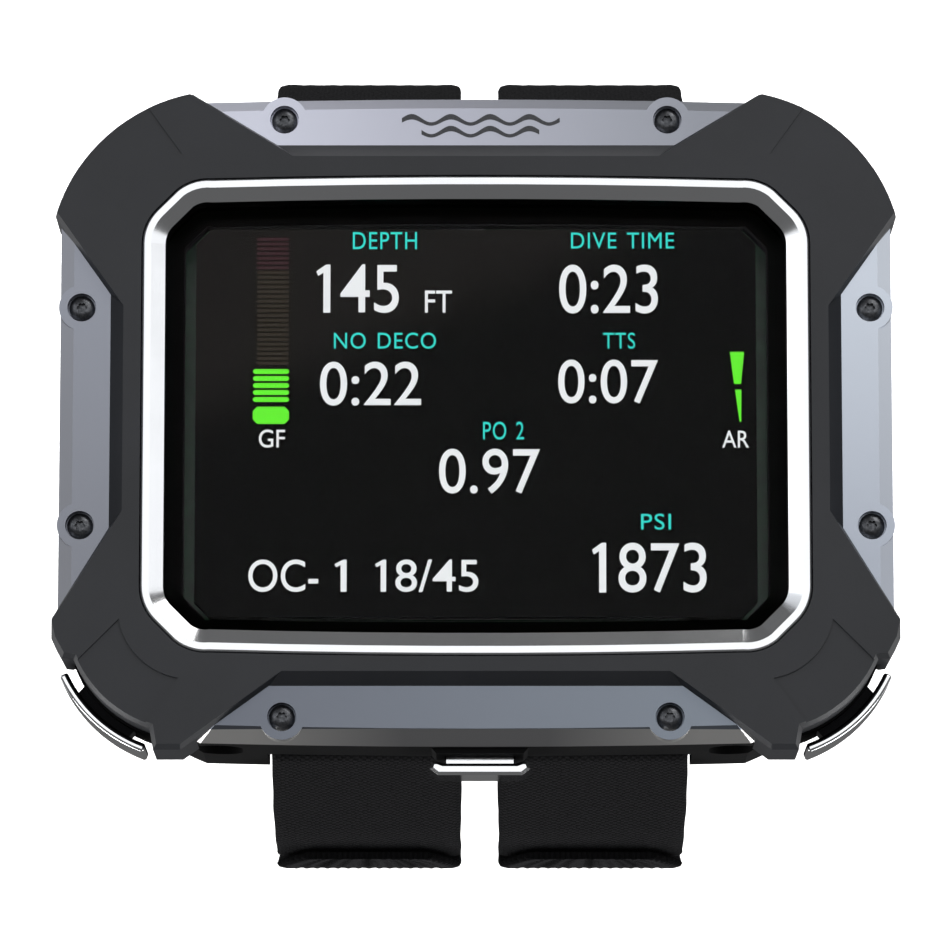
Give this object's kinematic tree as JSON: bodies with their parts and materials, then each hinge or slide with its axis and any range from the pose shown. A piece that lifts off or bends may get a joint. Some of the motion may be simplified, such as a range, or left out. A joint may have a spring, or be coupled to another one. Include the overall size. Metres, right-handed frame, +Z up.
{
  "type": "dive computer",
  "caption": "Wrist dive computer with a wide eight-sided window, metal face frame, soft corner bumper, three push keys and two webbing straps.",
  "frame": {"origin": "centre of the case back, on its outer face", "axes": "+X is the reader's right, +Y points from the display through the case into the wrist, +Z is up as the display is read"},
  "size_m": [0.094, 0.0799, 0.092],
  "materials": {
    "satin_metal": "satin bead-blasted metal",
    "dark_screw": "dark coated steel",
    "polished_steel": "polished",
    "window_glass": "clear polished glass",
    "black_rubber": "matt black",
    "bumper_rubber": "satin dark grey",
    "case_polymer": "fine matt",
    "cover_polymer": "fine matt",
    "sensor_steel": "satin",
    "gold_contact": "plated",
    "webbing": "woven elastic",
    "hook_patch": "hook tape",
    "display_black": "gloss",
    "lamp_white": "matt white",
    "cable_film": "amber film",
    "board_green": "solder mask",
    "chip_black": "moulded",
    "battery_foil": "foil pouch",
    "foam_black": "open foam",
    "key_chrome": "polished",
    "spring_steel": "drawn wire"
  },
  "bodies": {
    "case": {"front_frame": "satin_metal", "face_screws": "dark_screw", "bezel_ring": "polished_steel", "window_glass": "window_glass", "glass_gasket": "black_rubber", "corner_bumper": "bumper_rubber", "mid_case": "case_polymer", "rear_cover": "cover_polymer", "rear_screws": "dark_screw", "cover_seal": "black_rubber", "sensor_guard": "sensor_steel", "depth_sensor": "sensor_steel", "sensor_seal": "black_rubber", "contact_block": "cover_polymer", "charging_contacts": "gold_contact", "strap_pins": "sensor_steel", "lanyard_bars": "sensor_steel", "left_strap": "webbing", "right_strap": "webbing", "left_hook_patch": "hook_patch", "right_hook_patch": "hook_patch", "lcd_panel": "display_black", "backlight_unit": "lamp_white", "display_cable": "cable_film", "main_board": "board_green", "board_chips": "chip_black", "battery_pack": "battery_foil", "battery_foam": "foam_black", "vibration_motor": "sensor_steel", "buzzer": "chip_black", "radio_antenna": "lamp_white", "button_switches": "sensor_steel"},
    "left_button": {"left_key": "key_chrome", "left_plunger": "sensor_steel", "left_plunger_seal": "black_rubber", "left_clip": "sensor_steel", "left_spring": "spring_steel"},
    "right_button": {"right_key": "key_chrome", "right_plunger": "sensor_steel", "right_plunger_seal": "black_rubber", "right_clip": "sensor_steel", "right_spring": "spring_steel"},
    "middle_button": {"middle_key": "key_chrome", "middle_plunger": "sensor_steel", "middle_plunger_seal": "black_rubber", "middle_clip": "sensor_steel", "middle_spring": "spring_steel"}
  },
  "joints": [
    {"name": "left_push", "type": "slide", "parent": "case", "child": "left_button", "axis": [0.6743, 0, 0.7385], "range_m": [0, 0.0007], "stiffness_N_per_m": 1200, "springref_m": -0.0008, "deforming": ["left_spring"]},
    {"name": "right_push", "type": "slide", "parent": "case", "child": "right_button", "axis": [-0.6743, 0, 0.7385], "range_m": [0, 0.0007], "stiffness_N_per_m": 1200, "springref_m": -0.0008, "deforming": ["right_spring"]},
    {"name": "middle_push", "type": "slide", "parent": "case", "child": "middle_button", "axis": [0, 0, 1], "range_m": [0, 0.0007], "stiffness_N_per_m": 1200, "springref_m": -0.0008, "deforming": ["middle_spring"]}
  ]
}
